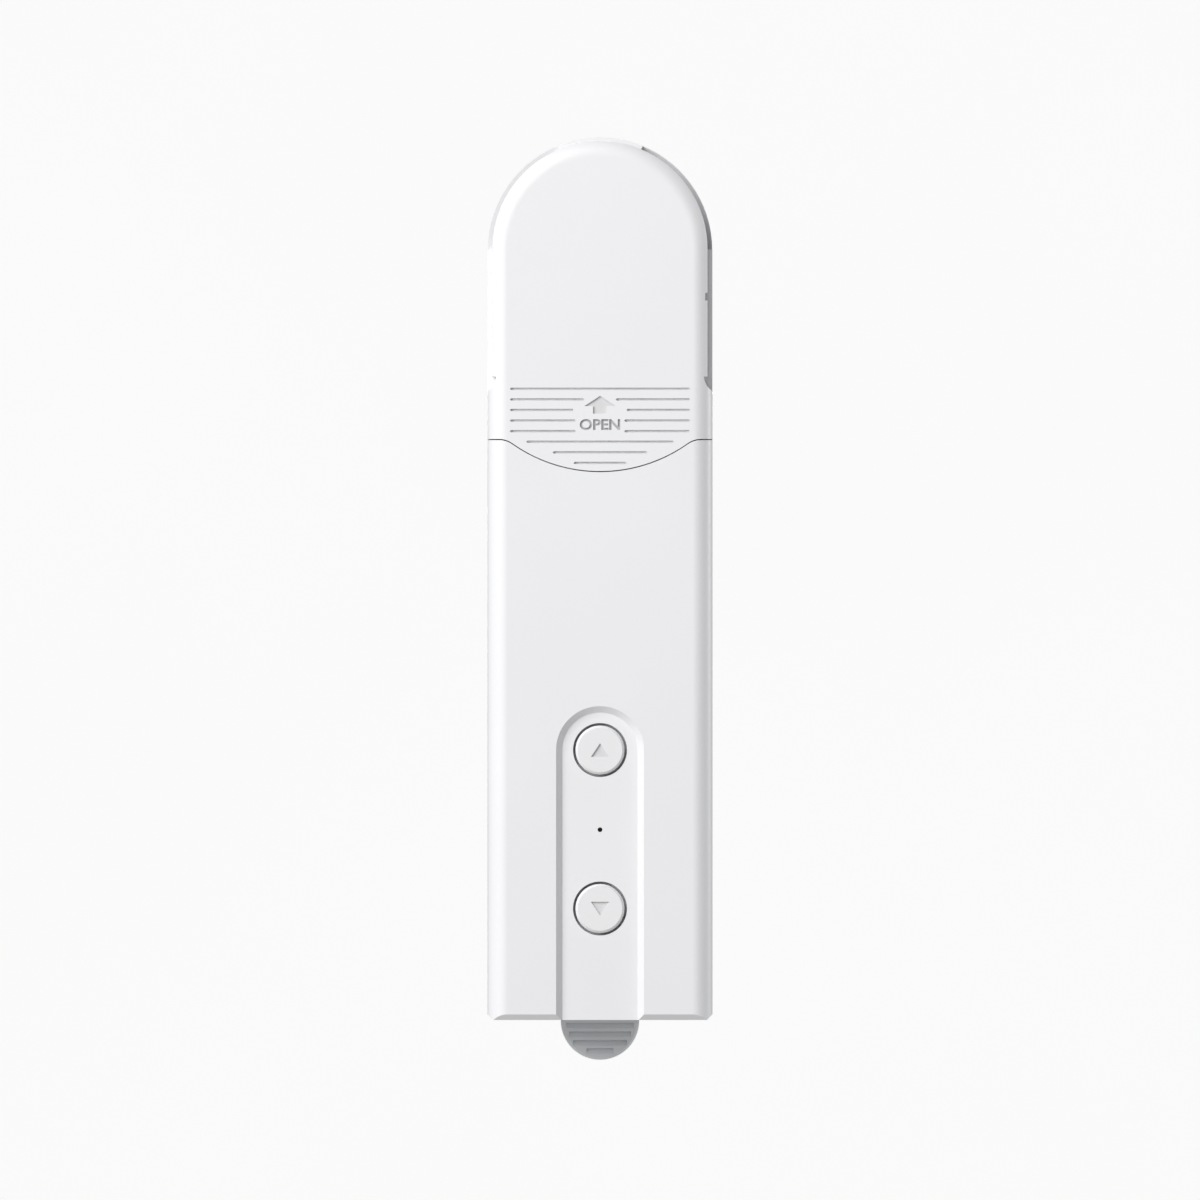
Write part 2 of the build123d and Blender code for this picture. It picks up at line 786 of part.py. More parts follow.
with BuildPart() as switch_plunger_up:
    with BuildSketch(front_view.offset(plunger_back)):
        with Locations((0, up_button_height)):
            Circle(plunger_radius)
    extrude(amount=flange_front - button_flange - plunger_back)
switch_plunger_up.part.label = "switch_plunger_up"

with BuildPart() as switch_plunger_down:
    add(switch_plunger_up.part.moved(Location((0, 0, down_button_height - up_button_height))))
switch_plunger_down.part.label = "switch_plunger_down"

with BuildPart() as radio_module:
    with BuildSketch(front_view.offset(board_front)):
        with Locations((0, radio_height)):
            Rectangle(radio_width, radio_length)
    extrude(amount=radio_board)
    with BuildSketch(front_view.offset(board_front + radio_board)):
        with Locations((0, shield_height)):
            RectangleRounded(shield_size, shield_size, shield_corner)
    extrude(amount=shield_thickness)
radio_module.part.label = "radio_module"

with BuildPart() as control_chip:
    with BuildSketch(front_view.offset(board_front)):
        with Locations((chip_x, chip_height)):
            Rectangle(chip_size, chip_size)
    extrude(amount=chip_thickness)
control_chip.part.label = "control_chip"

with BuildPart() as status_led:
    with BuildSketch(front_view.offset(board_front)):
        with Locations((0, light_hole_height)):
            Rectangle(lamp_width, lamp_height)
    extrude(amount=lamp_thickness)
status_led.part.label = "status_led"

with BuildPart() as light_pipe:
    with BuildSketch(front_view.offset(board_front + lamp_thickness)):
        with Locations((0, light_hole_height)):
            Circle(pipe_radius)
    extrude(amount=channel_inside - board_front - lamp_thickness)
light_pipe.part.label = "light_pipe"

# Charging socket on the back of the board, open at the bottom of the case
usb_low = wall + loose
usb_length = 5.5
usb_sheet = 0.35
usb_tongue_half = 3.2
usb_tongue_thickness = 0.7
with BuildPart() as usb_socket:
    with BuildSketch(level.offset(usb_low)):
        with Locations((0, -usb_depth)):
            SlotOverall(2 * usb_half, usb_thickness)
    extrude(amount=usb_length)
    with BuildSketch(level.offset(usb_low)):
        with Locations((0, -usb_depth)):
            SlotOverall(2 * (usb_half - usb_sheet), usb_thickness - 2 * usb_sheet)
    extrude(amount=usb_length - 1.0, mode=Mode.SUBTRACT)
    with BuildSketch(level.offset(usb_low + usb_length)):
        with Locations((0, -usb_depth)):
            Rectangle(2 * usb_tongue_half, usb_tongue_thickness)
    extrude(amount=-(usb_length - 0.8))
usb_socket.part.label = "usb_socket"

# Motor: steel can, plastic end bell and a thin shaft that carries the worm
motor_back = tab_front + loose
motor_room = 1.4
motor_radius = min(motor_depth - motor_back, board_back - motor_room - motor_depth)
motor_length = 30.0
motor_low = motor_high - motor_length
bell_length = 2.4
bell_low = motor_low - bell_length
bell_inset = 0.6
can_bevel = 0.6
bell_bevel = 0.5
nose_radius = 3.0
nose_height = 1.2
shelf_thickness = 1.5
shaft_radius = 1.0
shaft_low = motor_low + 4.0
shaft_top = step_low - 0.4
motor_screw_radius = 0.9
motor_screw_length = 4.0
motor_screw_reach = 5.0
motor_screw_head = 1.4
motor_head_thickness = 0.9
motor_screw_points = [
    (motor_x - motor_screw_reach, -motor_depth), (motor_x + motor_screw_reach, -motor_depth)
]

with BuildPart() as motor_can:
    with BuildSketch(level.offset(motor_low)):
        with Locations((motor_x, -motor_depth)):
            Circle(motor_radius)
    extrude(amount=motor_length)
    chamfer(motor_can.edges().group_by(Axis.Z)[-1], length=can_bevel)
    with BuildSketch(level.offset(motor_high)):
        with Locations((motor_x, -motor_depth)):
            Circle(nose_radius)
    extrude(amount=nose_height)
    with BuildSketch(level.offset(motor_high + nose_height)):
        with Locations((motor_x, -motor_depth)):
            Circle(shaft_radius + running_fit)
    extrude(amount=shaft_low - motor_high - nose_height - loose, mode=Mode.SUBTRACT)
    with BuildSketch(level.offset(motor_high)):
        with Locations(*motor_screw_points):
            Circle(motor_screw_radius)
    extrude(amount=shelf_thickness - motor_screw_length - tip_room, mode=Mode.SUBTRACT)
motor_can.part.label = "motor_can"

with BuildPart() as motor_end_bell:
    with BuildSketch(level.offset(bell_low)):
        with Locations((motor_x, -motor_depth)):
            Circle(motor_radius - bell_inset)
    extrude(amount=bell_length)
    chamfer(motor_end_bell.edges().group_by(Axis.Z)[0], length=bell_bevel)
motor_end_bell.part.label = "motor_end_bell"

with BuildPart() as motor_shaft:
    with BuildSketch(level.offset(shaft_low)):
        with Locations((motor_x, -motor_depth)):
            Circle(shaft_radius)
    extrude(amount=shaft_top - shaft_low)
motor_shaft.part.label = "motor_shaft"

# Battery: two round cells in an open tray that stands on four posts below the motor
tray_gap = 4.8
tray_high = bell_low - tray_gap
tray_floor = 1.2
tray_rise = 10.2
cell_end = 1.1
cell_low = tray_low + cell_end
cell_high = tray_high - cell_end
cell_depth = tray_back + tray_floor + cell_radius

with BuildPart() as battery_tray:
    with BuildSketch(front_view.offset(tray_back)):
        with Locations((0, (tray_low + tray_high) / 2)):
            Rectangle(2 * tray_half, tray_high - tray_low)
    extrude(amount=tray_rise)
    with BuildSketch(front_view.offset(tray_back + tray_floor)):
        with Locations((0, (tray_low + tray_high) / 2)):
            Rectangle(2 * (tray_half - tray_wall), tray_high - tray_low - 2 * tray_wall)
    extrude(amount=tray_rise - tray_floor, mode=Mode.SUBTRACT)
battery_tray.part.label = "battery_tray"

with BuildPart() as battery_cells:
    with BuildSketch(level.offset(cell_low)):
        with Locations((-cell_x, -cell_depth), (cell_x, -cell_depth)):
            Circle(cell_radius)
    extrude(amount=cell_high - cell_low)
battery_cells.part.label = "battery_cells"

# Gear train: worm on the motor shaft, worm wheel, idler, and the output gear on the chain shaft
worm_axial_pitch = pi * module
pin_radius = 1.2
output_shaft_radius = 2.5
output_hub_radius = 4.5
hub_tail = 1.0
wheel_hub_radius = 3.2
wheel_hub_rise = 1.6


def gear_corners(teeth, first_angle):
    """Corners of a gear seen from the front, one tooth pointing at the first angle in radians."""
    pitch_radius = module * teeth / 2
    base_radius = pitch_radius * cos(pressure)
    tip_radius = pitch_radius + addendum
    root_radius = pitch_radius - dedendum
    tooth_width = pi * module / 2 - tooth_slack
    half_at_base = tooth_width / 2 / pitch_radius + tan(pressure) - pressure
    flank = [root_radius]
    for share in (0.0, 0.55, 1.0):
        radius = base_radius + share * (tip_radius - base_radius)
        if radius > root_radius + 0.05:
            flank.append(radius)
    half_angles = []
    for radius in flank:
        roll = acos(min(1.0, base_radius / radius))
        half_angles.append(half_at_base - (tan(roll) - roll))
    half_angles[0] = half_angles[1]
    corners = []
    for tooth in range(teeth):
        middle = first_angle + 2 * pi * tooth / teeth
        for radius, half in zip(flank, half_angles):
            corners.append((radius * cos(middle - half), radius * sin(middle - half)))
        for radius, half in zip(reversed(flank), reversed(half_angles)):
            corners.append((radius * cos(middle + half), radius * sin(middle + half)))
    return corners


def gear_outline(teeth, x, height, first_angle):
    """Draws a gear with its axis at the given place of the front view."""
    with Locations((x, height)):
        Polygon(*gear_corners(teeth, first_angle), align=None)


to_output = atan2(output_height - idler_height, -idler_x)
to_idler = to_output + pi
wheel_to_idler = atan2(idler_height - wheel_height, idler_x - wheel_x)
idler_to_wheel = wheel_to_idler + pi

with BuildPart() as output_gear:
    with BuildSketch(front_view.offset(slow_back)):
        gear_outline(output_teeth, 0, output_height, to_idler)
    extrude(amount=slow_front - slow_back)
    with BuildSketch(front_view.offset(slow_back - hub_tail)):
        with Locations((0, output_height)):
            Circle(output_hub_radius)
    extrude(amount=slow_width + hub_tail + hub_rise)
    with BuildSketch(front_view.offset(slow_back - hub_tail)):
        with Locations((0, output_height)):
            Circle(output_shaft_radius + press_fit)
    extrude(amount=slow_width + hub_tail + hub_rise, mode=Mode.SUBTRACT)
output_gear.part.label = "output_gear"

with BuildPart() as idler_gear:
    with BuildSketch(front_view.offset(slow_back)):
        gear_outline(pinion_teeth, idler_x, idler_height, to_output + pi / pinion_teeth)
    extrude(amount=slow_front - slow_back)
    with BuildSketch(front_view.offset(fast_back)):
        gear_outline(idler_teeth, idler_x, idler_height, idler_to_wheel)
    extrude(amount=fast_front - fast_back)
    with BuildSketch(front_view.offset(fast_front)):
        with Locations((idler_x, idler_height)):
            Circle(module * pinion_teeth / 2 - dedendum)
    extrude(amount=slow_back - fast_front)
    with BuildSketch(front_view.offset(fast_back)):
        with Locations((idler_x, idler_height)):
            Circle(pin_radius + running_fit)
    extrude(amount=slow_front - fast_back, mode=Mode.SUBTRACT)
idler_gear.part.label = "idler_gear"

# Worm wheel: slanted teeth that follow the worm, a hub, and a small pinion that drives the idler
worm_lead_angle = atan2(worm_axial_pitch, 2 * pi * worm_pitch_radius)
slant_step = (worm_wheel_front - worm_wheel_back) / 2 * tan(worm_lead_angle) / (module * wheel_teeth / 2)

with BuildPart() as worm_wheel:
    for depth, turn in ((worm_wheel_back, -slant_step), (worm_wheel_front, slant_step)):
        with BuildSketch(front_view.offset(depth)):
            gear_outline(wheel_teeth, wheel_x, wheel_height, turn)
    loft(ruled=True)
    with BuildSketch(front_view.offset(fast_back)):
        gear_outline(
            wheel_pinion_teeth, wheel_x, wheel_height, wheel_to_idler + pi / wheel_pinion_teeth
        )
    extrude(amount=fast_front - fast_back)
    with BuildSketch(front_view.offset(fast_front)):
        with Locations((wheel_x, wheel_height)):
            Circle(module * wheel_pinion_teeth / 2 - dedendum)
    extrude(amount=worm_wheel_back - fast_front)
    with BuildSketch(front_view.offset(worm_wheel_front)):
        with Locations((wheel_x, wheel_height)):
            Circle(wheel_hub_radius)
    extrude(amount=wheel_hub_rise)
    with BuildSketch(front_view.offset(fast_back)):
        with Locations((wheel_x, wheel_height)):
            Circle(pin_radius + running_fit)
    extrude(amount=worm_wheel_front + wheel_hub_rise - fast_back, mode=Mode.SUBTRACT)
worm_wheel.part.label = "worm_wheel"

# Worm: one right-hand thread round a hub, pressed on the motor shaft
worm_root_radius = worm_pitch_radius - 1.0
worm_low = case_bottom + wheel_height - worm_length / 2
thread_half_root = (worm_axial_pitch / 2 - tooth_slack) / 2 + 1.1 * tan(pressure)
thread_half_tip = (worm_axial_pitch / 2 - tooth_slack) / 2 - addendum * tan(pressure)
thread_turns = 4
thread_steps = 18

with BuildPart() as worm:
    for step in range(thread_turns * thread_steps + 1):
        angle = 2 * pi * step / thread_steps
        rise = worm_axial_pitch * (step / thread_steps - thread_turns / 2)
        section_plane = Plane(
            origin=(motor_x, -motor_depth, case_bottom + wheel_height + rise),
            x_dir=(cos(angle), sin(angle), 0),
            z_dir=(sin(angle), -cos(angle), 0),
        )
        with BuildSketch(section_plane):
            Polygon(
                (worm_root_radius - 0.15, -thread_half_root),
                (worm_tip_radius, -thread_half_tip),
                (worm_tip_radius, thread_half_tip),
                (worm_root_radius - 0.15, thread_half_root),
                align=None,
            )
    loft(ruled=True)
    with BuildSketch(Plane.XY.offset(worm_low)):
        with Locations((motor_x, -motor_depth)):
            Circle(worm_tip_radius + 1)
    extrude(amount=worm_length, mode=Mode.INTERSECT)
    with BuildSketch(Plane.XY.offset(worm_low - worm_hub)):
        with Locations((motor_x, -motor_depth)):
            Circle(worm_root_radius)
    extrude(amount=worm_length + 2 * worm_hub)
    with BuildSketch(Plane.XY.offset(worm_low - worm_hub)):
        with Locations((motor_x, -motor_depth)):
            Circle(shaft_radius)
    extrude(amount=worm_length + 2 * worm_hub, mode=Mode.SUBTRACT)
worm.part.label = "worm"

# Gearbox: a stepped frame in front of the gears, a plate behind them, and two fixed pins
frame_low = motor_high
step_thickness = 1.5
dome_frame_radius = inside_half - loose
shelf_left = motor_x - 11.4
shelf_back = motor_back + 0.5
frame_post_radius = 1.5
left_post_room = 0.9
right_post_room = 0.34
post_points = [
    beside(wheel_x, wheel_height, wheel_tip_radius + left_post_room + frame_post_radius, 120),
    beside(idler_x, idler_height, idler_tip_radius + right_post_room + frame_post_radius, 17.8),
    beside(0, output_height, output_tip_radius + gear_room + frame_post_radius, 90),
]
plate_end_radius = 1.6
plate_corner_radius = 3.6
bush_radius = 3.7
bush_flange_radius = 4.6
bush_flange = 0.6
bearing_half = 3.4
bearing_back = motor_depth - 3.8
worm_bush_radius = 2.2
rail_hook = frame_half - loose
rail_front = rib_front + loose + rail_wall
rail_bottom = rib_low
rail_top = step_low

with BuildPart() as gearbox_frame:
    with BuildSketch(front_view.offset(upper_plate_back)):
        with Locations((0, dome_height)):
            Circle(dome_frame_radius)
        with Locations((0, (step_low + dome_height) / 2)):
            Rectangle(2 * dome_frame_radius, dome_height - step_low)
    extrude(amount=frame_plate)
    with BuildSketch(front_view.offset(upper_plate_back)):
        with Locations((0, step_low + step_thickness / 2)):
            Rectangle(2 * frame_half, step_thickness)
    extrude(amount=lower_plate_front - upper_plate_back)
    with BuildSketch(front_view.offset(lower_plate_back)):
        with Locations((0, (frame_low + step_low) / 2)):
            Rectangle(2 * frame_half, step_low - frame_low)
    extrude(amount=frame_plate)
    with BuildSketch(level.offset(frame_low)):
        with Locations(((shelf_left + frame_half) / 2, -(shelf_back + lower_plate_front) / 2)):
            Rectangle(frame_half - shelf_left, lower_plate_front - shelf_back)
    extrude(amount=shelf_thickness)
    with BuildSketch(level.offset(bearing_low)):
        with Locations((motor_x, -(bearing_back + lower_plate_back) / 2)):
            Rectangle(2 * bearing_half, lower_plate_back - bearing_back)
    extrude(amount=step_low - bearing_low)
    with BuildSketch(front_view.offset(gear_plate_front)):
        with Locations(*post_points[1:]):
            Circle(frame_post_radius)
    extrude(amount=upper_plate_back - gear_plate_front)
    with BuildSketch(front_view.offset(gear_plate_front)):
        with Locations(post_points[0]):
            Circle(frame_post_radius)
    extrude(amount=lower_plate_back - gear_plate_front)
    for side in (-1, 1):
        with BuildSketch(level.offset(rail_bottom)):
            wall_middle = side * (rail_wall_inner + rail_wall / 2)
            with Locations((wall_middle, -(lower_plate_front + rail_front) / 2)):
                Rectangle(rail_wall, rail_front - lower_plate_front)
            with Locations((side * (rail_wall_inner + rail_hook) / 2, -rail_front + rail_wall / 2)):
                Rectangle(rail_hook - rail_wall_inner, rail_wall)
        extrude(amount=rail_top - rail_bottom)
    with BuildSketch(front_view.offset(shelf_back)):
        with Locations(*case_screw_points):
            Circle(case_boss_radius + loose)
    extrude(amount=lower_plate_front - shelf_back, mode=Mode.SUBTRACT)
    with BuildSketch(level.offset(bearing_low)):
        with Locations((motor_x, -motor_depth)):
            Circle(worm_bush_radius)
    extrude(amount=step_low - bearing_low, mode=Mode.SUBTRACT)
    with BuildSketch(level.offset(frame_low)):
        with Locations((motor_x, -motor_depth)):
            Circle(nose_radius + slide_fit)
        with Locations(*motor_screw_points):
            Circle(motor_screw_radius + slide_fit)
    extrude(amount=shelf_thickness, mode=Mode.SUBTRACT)
    with BuildSketch(front_view.offset(upper_plate_back)):
        with Locations((0, output_height)):
            Circle(bush_radius)
        with Locations((idler_x, idler_height)):
            Circle(pin_radius)
        with Locations(*dome_boss_points):
            Circle(frame_screw_radius + slide_fit)
    extrude(amount=frame_plate, mode=Mode.SUBTRACT)
    with BuildSketch(front_view.offset(lower_plate_back)):
        with Locations((wheel_x, wheel_height)):
            Circle(pin_radius)
        with Locations(*low_boss_points):
            Circle(frame_screw_radius + slide_fit)
    extrude(amount=frame_plate, mode=Mode.SUBTRACT)
    with BuildSketch(front_view.offset(lower_plate_front)):
        with Locations(*low_boss_points):
            Circle(frame_head_radius + slide_fit)
    extrude(amount=-low_head_sink, mode=Mode.SUBTRACT)
gearbox_frame.part.label = "gearbox_frame"

with BuildPart() as gearbox_plate:
    with BuildSketch(front_view.offset(gear_plate_back)):
        with Locations(*post_points):
            Circle(plate_end_radius)
        with Locations((wheel_x, wheel_height)):
            Circle(plate_corner_radius)
        make_hull()
        with Locations((0, output_height)):
            Circle(bush_radius, mode=Mode.SUBTRACT)
        with Locations((idler_x, idler_height), (wheel_x, wheel_height)):
            Circle(pin_radius, mode=Mode.SUBTRACT)
    extrude(amount=gear_plate_front - gear_plate_back)
gearbox_plate.part.label = "gearbox_plate"

with BuildPart() as gear_pins:
    with BuildSketch(front_view.offset(gear_plate_back)):
        with Locations((idler_x, idler_height)):
            Circle(pin_radius)
    extrude(amount=upper_plate_front - gear_plate_back)
    with BuildSketch(front_view.offset(gear_plate_back)):
        with Locations((wheel_x, wheel_height)):
            Circle(pin_radius)
    extrude(amount=lower_plate_front - gear_plate_back)
gear_pins.part.label = "gear_pins"

# Output shaft in its two bushes, with the chain sprocket on its flat and a screw in its end
shaft_tail = 0.8
shaft_back = gear_plate_back - shaft_tail
sprocket_flange = 0.9
sprocket_rim = 1.0
sprocket_pitch_radius = bead_pitch / 2 / sin(pi / pocket_count)
sprocket_radius = sprocket_pitch_radius + sprocket_rim
flat_reach = 2.0
end_screw_radius = 1.2
end_hole_depth = 7.0
end_screw_length = 6.5
end_head_radius = 3.4
end_head_thickness = 1.6
cross_length = 3.6
cross_width = 0.7
cross_depth = 0.8

with BuildPart() as output_shaft:
    with BuildSketch(front_view.offset(shaft_back)):
        with Locations((0, output_height)):
            Circle(output_shaft_radius)
    extrude(amount=sprocket_back - shaft_back)
    with BuildSketch(front_view.offset(sprocket_back)):
        with Locations((0, output_height)):
            Circle(output_shaft_radius)
        with Locations((0, output_height + flat_reach + output_shaft_radius)):
            Rectangle(4 * output_shaft_radius, 2 * output_shaft_radius, mode=Mode.SUBTRACT)
    extrude(amount=sprocket_front - sprocket_back)
    with BuildSketch(front_view.offset(sprocket_front)):
        with Locations((0, output_height)):
            Circle(end_screw_radius)
    extrude(amount=-end_hole_depth, mode=Mode.SUBTRACT)
output_shaft.part.label = "output_shaft"

with BuildPart() as front_bush:
    with BuildSketch(front_view.offset(upper_plate_back)):
        with Locations((0, output_height)):
            Circle(bush_radius)
    extrude(amount=frame_plate)
    with BuildSketch(front_view.offset(upper_plate_front)):
        with Locations((0, output_height)):
            Circle(bush_flange_radius)
    extrude(amount=bush_flange)
    with BuildSketch(front_view.offset(upper_plate_back)):
        with Locations((0, output_height)):
            Circle(output_shaft_radius + running_fit)
    extrude(amount=frame_plate + bush_flange, mode=Mode.SUBTRACT)
front_bush.part.label = "front_bush"

with BuildPart() as back_bush:
    with BuildSketch(front_view.offset(gear_plate_back)):
        with Locations((0, output_height)):
            Circle(bush_radius)
    extrude(amount=gear_plate_front - gear_plate_back)
    with BuildSketch(front_view.offset(gear_plate_front)):
        with Locations((0, output_height)):
            Circle(bush_flange_radius)
    extrude(amount=bush_flange)
    with BuildSketch(front_view.offset(gear_plate_back)):
        with Locations((0, output_height)):
            Circle(output_shaft_radius + running_fit)
    extrude(amount=gear_plate_front - gear_plate_back + bush_flange, mode=Mode.SUBTRACT)
back_bush.part.label = "back_bush"

with BuildPart() as chain_sprocket:
    with BuildSketch(front_view.offset(sprocket_back)):
        with Locations((0, output_height)):
            Circle(sprocket_radius)
    extrude(amount=sprocket_front - sprocket_back)
    with BuildSketch(front_view.offset(sprocket_back + sprocket_flange)):
        with Locations((0, output_height)):
            with PolarLocations(sprocket_pitch_radius, pocket_count):
                Circle(bead_radius + bead_room)
    extrude(amount=sprocket_front - sprocket_back - 2 * sprocket_flange, mode=Mode.SUBTRACT)
    with BuildSketch(front_view.offset(sprocket_back)):
        with Locations((0, output_height)):
            Circle(output_shaft_radius)
        with Locations((0, output_height + flat_reach + output_shaft_radius)):
            Rectangle(4 * output_shaft_radius, 2 * output_shaft_radius, mode=Mode.SUBTRACT)
    extrude(amount=sprocket_front - sprocket_back, mode=Mode.SUBTRACT)
chain_sprocket.part.label = "chain_sprocket"

# Sprocket screw, with a cross in its round head
with BuildPart() as sprocket_screw:
    with BuildSketch(front_view.offset(sprocket_front)):
        with Locations((0, output_height)):
            Circle(end_head_radius)
    extrude(amount=end_head_thickness)
    with BuildSketch(front_view.offset(sprocket_front + end_head_thickness)):
        with Locations((0, output_height)):
            Rectangle(cross_length, cross_width)
            Rectangle(cross_width, cross_length)
    extrude(amount=-cross_depth, mode=Mode.SUBTRACT)
    with BuildSketch(front_view.offset(sprocket_front)):
        with Locations((0, output_height)):
            Circle(end_screw_radius)
    extrude(amount=-end_screw_length)
sprocket_screw.part.label = "sprocket_screw"

# Bush that holds the upper end of the motor shaft
with BuildPart() as worm_bush:
    with BuildSketch(level.offset(bearing_low)):
        with Locations((motor_x, -motor_depth)):
            Circle(worm_bush_radius)
            Circle(shaft_radius + running_fit, mode=Mode.SUBTRACT)
    extrude(amount=bearing_length)
worm_bush.part.label = "worm_bush"

# Screws of the case, the gearbox frame, the motor and the board
case_head_thickness = 1.6
board_head_radius = 1.6
board_head_thickness = 0.9

with BuildPart() as case_screws:
    with BuildSketch(front_view.offset(case_head_depth - case_head_thickness)):
        with Locations(*case_screw_points):
            Circle(case_head_radius - loose)
    extrude(amount=case_head_thickness)
    with BuildSketch(front_view.offset(case_head_depth)):
        with Locations(*case_screw_points):
            Circle(frame_screw_radius)
    extrude(amount=seam_depth + screw_bite - case_head_depth)
case_screws.part.label = "case_screws"

with BuildPart() as frame_screws:
    for points, front in (
        (dome_boss_points, upper_plate_front),
        (low_boss_points, lower_plate_front - low_head_sink),
    ):
        with BuildSketch(front_view.offset(front)):
            with Locations(*points):
                Circle(frame_head_radius)
        extrude(amount=frame_head_thickness)
        with BuildSketch(front_view.offset(front)):
            with Locations(*points):
                Circle(frame_screw_radius)
        extrude(amount=-frame_screw_length)
frame_screws.part.label = "frame_screws"

with BuildPart() as motor_screws:
    with BuildSketch(level.offset(frame_low + shelf_thickness)):
        with Locations(*motor_screw_points):
            Circle(motor_screw_head)
    extrude(amount=motor_head_thickness)
    with BuildSketch(level.offset(frame_low + shelf_thickness)):
        with Locations(*motor_screw_points):
            Circle(motor_screw_radius)
    extrude(amount=-motor_screw_length)
motor_screws.part.label = "motor_screws"

with BuildPart() as board_screws:
    with BuildSketch(front_view.offset(board_back)):
        with Locations(*board_posts):
            Circle(board_head_radius)
    extrude(amount=-board_head_thickness)
    with BuildSketch(front_view.offset(board_back)):
        with Locations(*board_posts):
            Circle(board_screw_radius)
    extrude(amount=board_screw_length)
board_screws.part.label = "board_screws"

# Plugs on the back of the board, and the wires from the cells and the motor to them
plug_low = cell_high + loose
plug_length = 2.6
plug_high = plug_low + plug_length
plug_thickness = 2.8
plug_half = 3.2
lead_width = 3.4
lead_thickness = 0.9
lead_bend = 0.8
lead_rise = 1.4
lead_height = plug_high + lead_rise
lead_depth = board_back - plug_thickness / 2
battery_plug_x = -cell_x

with BuildPart() as board_plugs:
    with BuildSketch(front_view.offset(board_back)):
        with Locations(
            (battery_plug_x, (plug_low + plug_high) / 2), (motor_x, (plug_low + plug_high) / 2)
        ):
            Rectangle(2 * plug_half, plug_high - plug_low)
    extrude(amount=-plug_thickness)
board_plugs.part.label = "board_plugs"


def flat_lead(x, start_depth, start_height):
    """A flat twin wire that rises or falls from its start, turns forward, and ends in a plug."""
    with BuildLine() as route:
        FilletPolyline(
            (x, -start_depth, case_bottom + start_height),
            (x, -start_depth, case_bottom + lead_height),
            (x, -lead_depth, case_bottom + lead_height),
            (x, -lead_depth, case_bottom + plug_high),
            radius=lead_bend,
        )
    with BuildSketch(Plane.XY.offset(case_bottom + start_height)) as section:
        with Locations((x, -start_depth)):
            Rectangle(lead_width, lead_thickness)
    sweep(section.sketch, path=route.line)


with BuildPart() as motor_lead:
    flat_lead(motor_x, motor_depth, bell_low)
motor_lead.part.label = "motor_lead"

with BuildPart() as battery_lead:
    flat_lead(battery_plug_x, cell_depth, tray_high)
battery_lead.part.label = "battery_lead"

for piece in (
    wall_bracket, rear_shell, front_shell, chain_cover, release_tab, latch_leaf, button_up,
    button_down, main_board, tact_switches, switch_plunger_up, switch_plunger_down,
    radio_module, control_chip, status_led, light_pipe, usb_socket, battery_tray,
    battery_cells, motor_can, motor_end_bell, output_gear, idler_gear, worm_wheel, worm,
    gearbox_frame, gearbox_plate, gear_pins, output_shaft, front_bush, back_bush,
    chain_sprocket, sprocket_screw, motor_shaft, worm_bush, case_screws, frame_screws,
    motor_screws, board_screws, board_plugs, motor_lead, battery_lead,
):
    export_step(piece.part, "parts/" + piece.part.label + ".step")
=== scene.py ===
from math import radians

import bmesh
import bpy
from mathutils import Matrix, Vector


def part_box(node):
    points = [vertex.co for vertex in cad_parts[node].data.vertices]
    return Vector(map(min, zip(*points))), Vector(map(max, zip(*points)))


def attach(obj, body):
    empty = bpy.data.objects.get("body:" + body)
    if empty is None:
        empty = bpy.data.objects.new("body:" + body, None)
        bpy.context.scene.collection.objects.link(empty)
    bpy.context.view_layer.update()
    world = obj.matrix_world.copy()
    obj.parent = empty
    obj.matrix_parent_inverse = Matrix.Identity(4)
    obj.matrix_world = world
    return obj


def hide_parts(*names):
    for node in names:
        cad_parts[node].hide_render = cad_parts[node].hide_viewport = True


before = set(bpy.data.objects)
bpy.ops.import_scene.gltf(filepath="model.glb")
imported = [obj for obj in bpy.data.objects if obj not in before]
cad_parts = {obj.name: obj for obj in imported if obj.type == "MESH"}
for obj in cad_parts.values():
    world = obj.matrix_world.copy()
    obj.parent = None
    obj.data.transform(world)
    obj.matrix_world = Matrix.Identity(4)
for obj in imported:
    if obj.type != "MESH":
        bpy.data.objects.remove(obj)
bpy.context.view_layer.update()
MM = 0.001

# Wall bracket: a ribbed plate of glass-filled white nylon, screwed to the wall through two
# countersunk holes. The case slides down over its side flanges, and the rack on its face takes
# the teeth of the latch.


def new_material(name):
    """An empty node material, with its shader and its node tree."""
    material = bpy.data.materials.new(name)
    material.use_nodes = True
    tree = material.node_tree
    tree.nodes.clear()
    output = tree.nodes.new("ShaderNodeOutputMaterial")
    shader = tree.nodes.new("ShaderNodeBsdfPrincipled")
    tree.links.new(shader.outputs["BSDF"], output.inputs["Surface"])
    return material, tree, shader


# Most values of a noise lie between these two.
noise_low = 0.3
noise_high = 0.7


def noise(tree, scale, detail=3.0, stretch=(1.0, 1.0, 1.0)):
    """Noise over the object's own metres; the scale is in waves per metre."""
    coordinates = tree.nodes.new("ShaderNodeTexCoord")
    mapping = tree.nodes.new("ShaderNodeMapping")
    mapping.inputs["Scale"].default_value = stretch
    texture = tree.nodes.new("ShaderNodeTexNoise")
    texture.inputs["Scale"].default_value = scale
    texture.inputs["Detail"].default_value = detail
    tree.links.new(coordinates.outputs["Object"], mapping.inputs["Vector"])
    tree.links.new(mapping.outputs["Vector"], texture.inputs["Vector"])
    return texture.outputs["Fac"]


def blend_colours(tree, factor, dark, light):
    """A colour that moves from the dark one to the light one with the factor."""
    ramp = tree.nodes.new("ShaderNodeValToRGB")
    ramp.color_ramp.elements[0].position = noise_low
    ramp.color_ramp.elements[0].color = (*dark, 1.0)
    ramp.color_ramp.elements[1].position = noise_high
    ramp.color_ramp.elements[1].color = (*light, 1.0)
    tree.links.new(factor, ramp.inputs["Fac"])
    return ramp.outputs["Color"]


